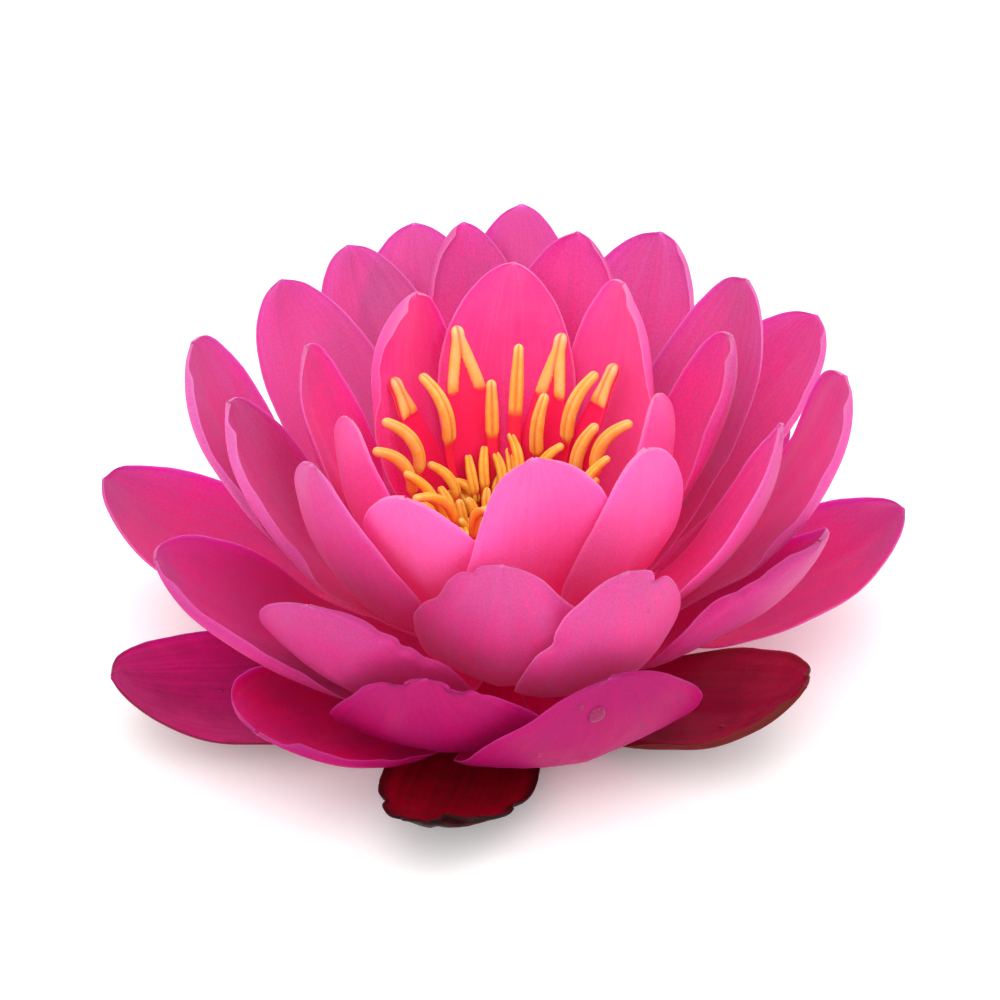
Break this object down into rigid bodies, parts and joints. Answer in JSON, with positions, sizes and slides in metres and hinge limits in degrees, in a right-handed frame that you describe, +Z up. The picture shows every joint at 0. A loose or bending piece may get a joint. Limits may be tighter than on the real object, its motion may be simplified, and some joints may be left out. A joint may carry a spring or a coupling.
{
  "type": "water lily flower",
  "caption": "Open double water lily flower with rings of cupped pink petals, spreading dark sepals, curled yellow stamens and a short cut stem stub to stand on.",
  "frame": {"origin": "on the surface that the flower rests on, under the middle of its spread", "axes": "+Z up through the flower; -Y is the front of the flower, where the petals lean lowest; +X to the right of the front view"},
  "size_m": [0.142, 0.1406, 0.0666],
  "materials": {
    "petal_inner": "soft satin petal, bright pink",
    "petal_second": "soft satin petal, bright pink",
    "petal_cup": "soft satin petal, pink with paler rim",
    "petal_spreading": "soft satin petal, deep pink",
    "petal_low": "soft satin petal, deep pink",
    "sepal": "fleshy satin sepal, dark crimson with brown-green edge",
    "stamen_petaloid": "satin, red blade with yellow anther strips",
    "stamen": "satin, red filament with orange-yellow anther",
    "stigma": "moist satin, orange-yellow",
    "receptacle": "fleshy green-brown, satin"
  },
  "bodies": {
    "root": {"petal_inner_1": "petal_inner", "petal_inner_2": "petal_inner", "petal_inner_3": "petal_inner", "petal_inner_4": "petal_inner", "petal_inner_5": "petal_inner", "petal_inner_6": "petal_inner", "petal_inner_7": "petal_inner", "petal_inner_8": "petal_inner", "petal_second_1": "petal_second", "petal_second_2": "petal_second", "petal_second_3": "petal_second", "petal_second_4": "petal_second", "petal_second_5": "petal_second", "petal_second_6": "petal_second", "petal_second_7": "petal_second", "petal_second_8": "petal_second", "petal_cup_1": "petal_cup", "petal_cup_2": "petal_cup", "petal_cup_3": "petal_cup", "petal_cup_4": "petal_cup", "petal_cup_5": "petal_cup", "petal_cup_6": "petal_cup", "petal_cup_7": "petal_cup", "petal_cup_8": "petal_cup", "petal_cup_9": "petal_cup", "petal_cup_10": "petal_cup", "petal_spreading_1": "petal_spreading", "petal_spreading_2": "petal_spreading", "petal_spreading_3": "petal_spreading", "petal_spreading_4": "petal_spreading", "petal_spreading_5": "petal_spreading", "petal_spreading_6": "petal_spreading", "petal_spreading_7": "petal_spreading", "petal_low_1": "petal_low", "petal_low_2": "petal_low", "petal_low_3": "petal_low", "petal_low_4": "petal_low", "petal_low_5": "petal_low", "sepal_1": "sepal", "sepal_2": "sepal", "sepal_3": "sepal", "sepal_4": "sepal", "stamen_outer_1": "stamen_petaloid", "stamen_outer_2": "stamen_petaloid", "stamen_outer_3": "stamen_petaloid", "stamen_outer_4": "stamen_petaloid", "stamen_outer_5": "stamen", "stamen_outer_6": "stamen", "stamen_outer_7": "stamen", "stamen_outer_8": "stamen", "stamen_outer_9": "stamen", "stamen_outer_10": "stamen", "stamen_outer_11": "stamen", "stamen_outer_12": "stamen", "stamen_outer_13": "stamen", "stamens_middle": "stamen", "stamens_inner": "stamen", "stigma_disc": "stigma", "receptacle": "receptacle"}
  },
  "joints": []
}
